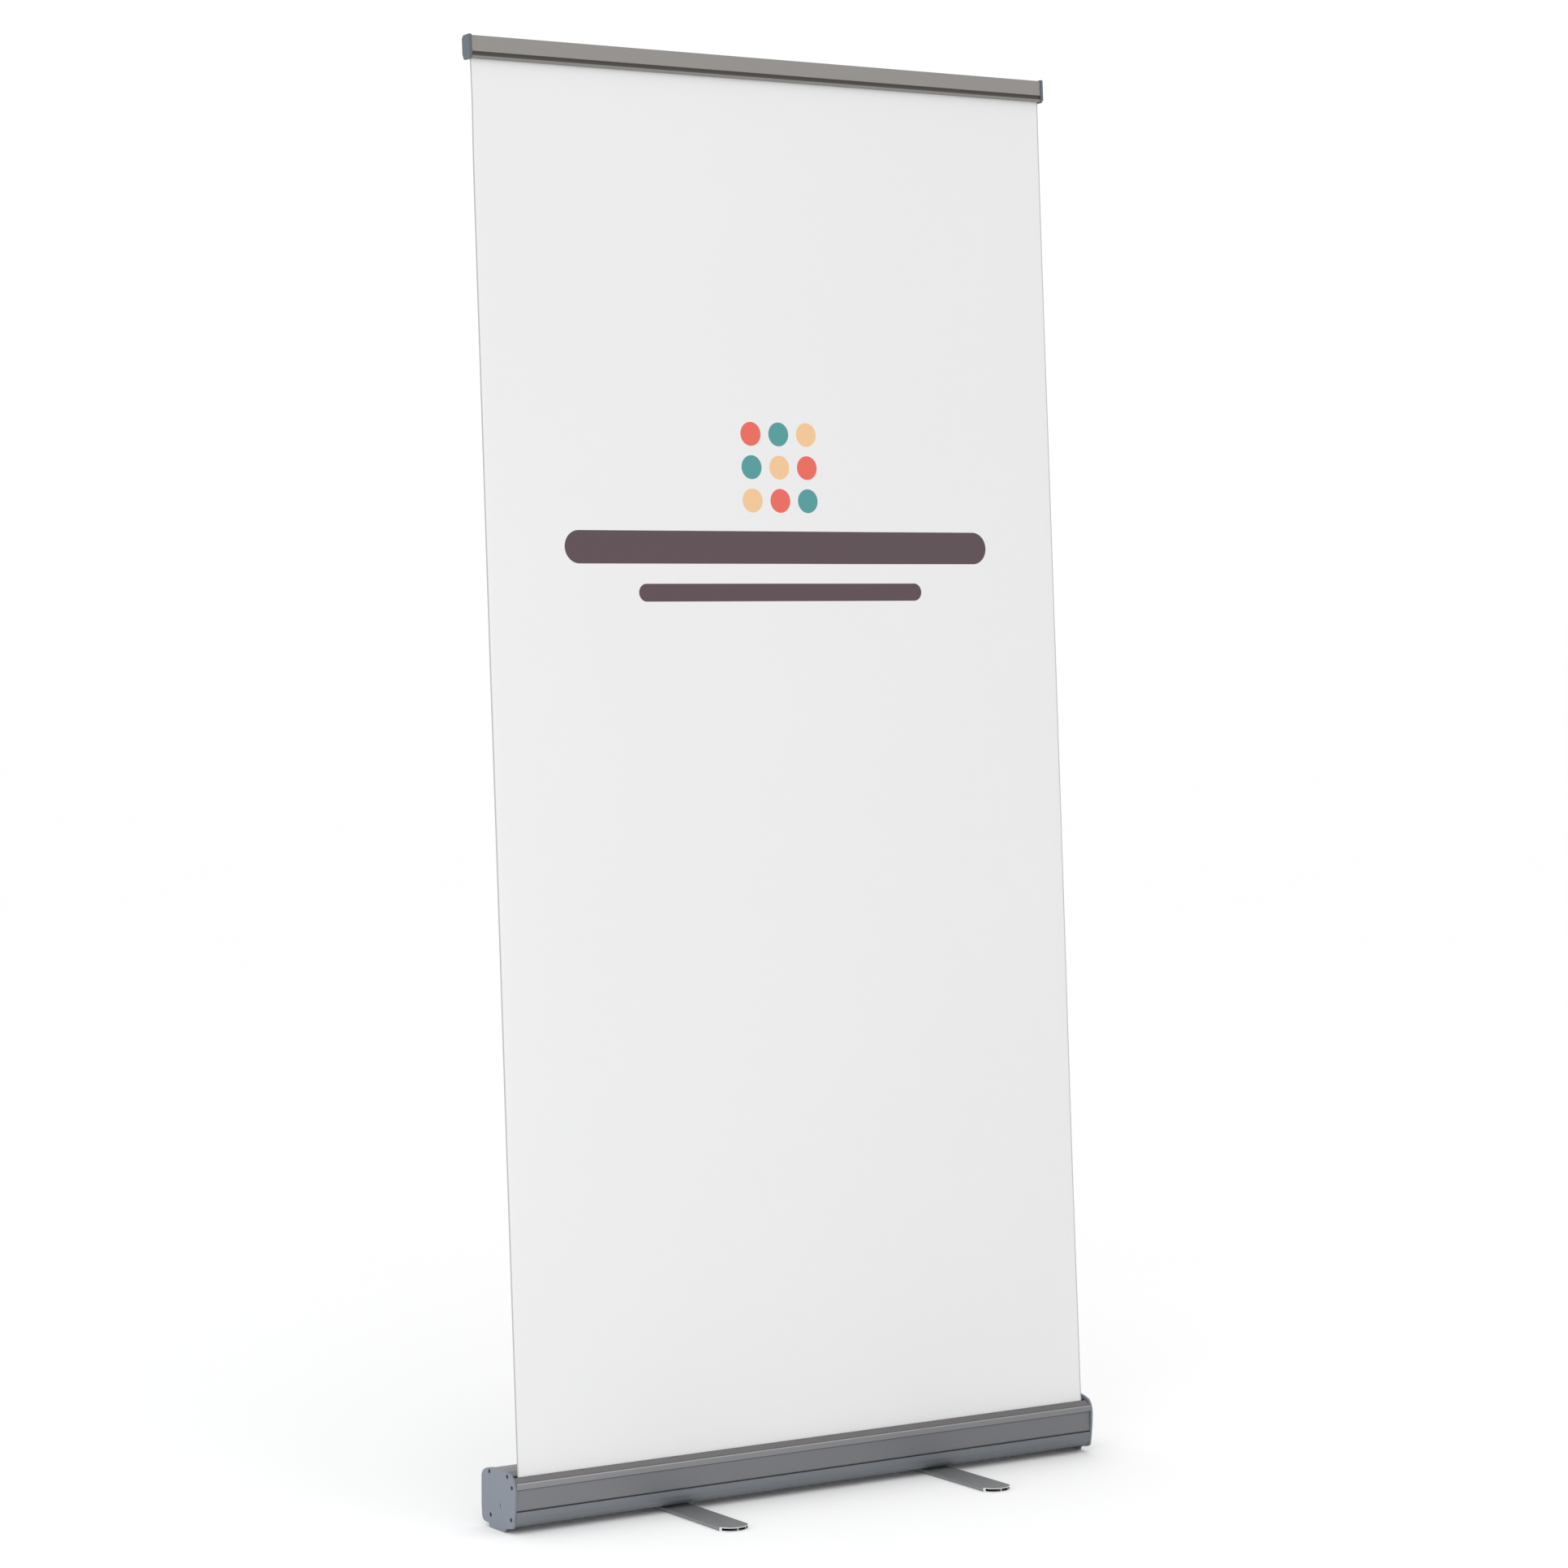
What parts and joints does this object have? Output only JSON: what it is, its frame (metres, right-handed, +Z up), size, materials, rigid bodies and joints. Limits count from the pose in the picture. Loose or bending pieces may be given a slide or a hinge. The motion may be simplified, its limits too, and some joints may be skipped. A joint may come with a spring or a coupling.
{
  "type": "roll-up banner stand",
  "caption": "Free-standing roll-up banner: floor cassette with a spring roller, telescopic pole, clamp rail, swivel feet and a plain pale banner.",
  "frame": {"origin": "on the floor, below the middle of the whole stand's box", "axes": "+X to the right of a viewer in front, -Y out of the banner's front, +Z up"},
  "size_m": [1.0246, 0.3414, 2.1102],
  "materials": {
    "cassette_aluminium": "grey silk anodised extrusion",
    "plate_plastic": "blue-grey moulded, fine texture",
    "rail_aluminium": "warm grey silk anodised extrusion",
    "pole_aluminium": "natural anodised tube",
    "foot_aluminium": "grey silk anodised extrusion, sawn tip",
    "cap_plastic": "blue-grey moulded",
    "black_plastic": "moulded nylon, fine texture",
    "nylon": "natural nylon",
    "steel": "zinc plated",
    "banner_film": "matt coated banner film, printed on the front"
  },
  "bodies": {
    "base": {"cassette_housing": "cassette_aluminium", "end_plate_left": "plate_plastic", "end_plate_right": "plate_plastic", "end_plate_left_screw_1": "steel", "end_plate_left_screw_2": "steel", "end_plate_left_screw_3": "steel", "end_plate_left_screw_4": "steel", "end_plate_left_screw_5": "steel", "end_plate_right_screw_1": "steel", "end_plate_right_screw_2": "steel", "end_plate_right_screw_3": "steel", "end_plate_right_screw_4": "steel", "end_plate_right_screw_5": "steel", "spring_shaft": "steel", "idle_pin": "steel", "spring_arbor": "black_plastic", "banner_sheet": "banner_film", "pole_lower": "pole_aluminium", "pole_socket": "black_plastic", "pole_foot_plug": "black_plastic", "foot_left_bolt": "steel", "foot_left_washer": "nylon", "foot_left_nut": "steel", "foot_right_bolt": "steel", "foot_right_washer": "nylon", "foot_right_nut": "steel"},
    "roller": {"roller_tube": "pole_aluminium", "roller_plug_left": "black_plastic", "roller_plug_right": "black_plastic", "banner_wound_turns": "banner_film", "roller_spring": "steel"},
    "top_rail": {"rail_back": "rail_aluminium", "rail_cap_left": "cap_plastic", "rail_cap_right": "cap_plastic", "pole_head": "black_plastic", "pole_upper": "pole_aluminium", "upper_slide_bush": "nylon"},
    "rail_flap": {"rail_front": "rail_aluminium"},
    "pole_section": {"pole_middle": "pole_aluminium", "middle_slide_bush": "nylon"},
    "collar_lower": {"lock_collar_lower": "black_plastic"},
    "collar_upper": {"lock_collar_upper": "black_plastic"},
    "left_foot": {"foot_left": "foot_aluminium"},
    "right_foot": {"foot_right": "foot_aluminium"}
  },
  "joints": [
    {"name": "banner_height", "type": "slide", "parent": "base", "child": "top_rail", "axis": [0, 0.061, 0.9981], "range_m": [-1.2, 0], "deforming": ["banner_sheet"]},
    {"name": "pole_section_slide", "type": "slide", "parent": "base", "child": "pole_section", "axis": [0, 0.061, 0.9981], "range_m": [-0.6, 0]},
    {"name": "roller_spin", "type": "hinge", "parent": "base", "child": "roller", "pos_m": [0, 0.01622, 0.037], "axis": [1, 0, 0], "range_deg": [0, 4100]},
    {"name": "rail_flap_hinge", "type": "hinge", "parent": "top_rail", "child": "rail_flap", "pos_m": [0, 0.10622, 2.10764], "axis": [1, 0, 0], "range_deg": [-60, 0]},
    {"name": "collar_lower_twist", "type": "hinge", "parent": "base", "child": "collar_lower", "pos_m": [0, 0.07799, 0.77788], "axis": [0, 0.061, 0.9981], "range_deg": [0, 90]},
    {"name": "collar_upper_twist", "type": "hinge", "parent": "pole_section", "child": "collar_upper", "pos_m": [0, 0.1181, 1.43366], "axis": [0, 0.061, 0.9981], "range_deg": [0, 90]},
    {"name": "left_foot_swivel", "type": "hinge", "parent": "base", "child": "left_foot", "pos_m": [-0.231, 0.02922, 0], "axis": [0, 0, 1], "range_deg": [-90, 0]},
    {"name": "right_foot_swivel", "type": "hinge", "parent": "base", "child": "right_foot", "pos_m": [0.231, 0.02922, 0], "axis": [0, 0, 1], "range_deg": [0, 90]}
  ],
  "couplings": [
    {"joint": "pole_section_slide", "follows": "banner_height", "ratio": 0.5},
    {"joint": "roller_spin", "follows": "banner_height", "rad_per_m": -58.8}
  ]
}
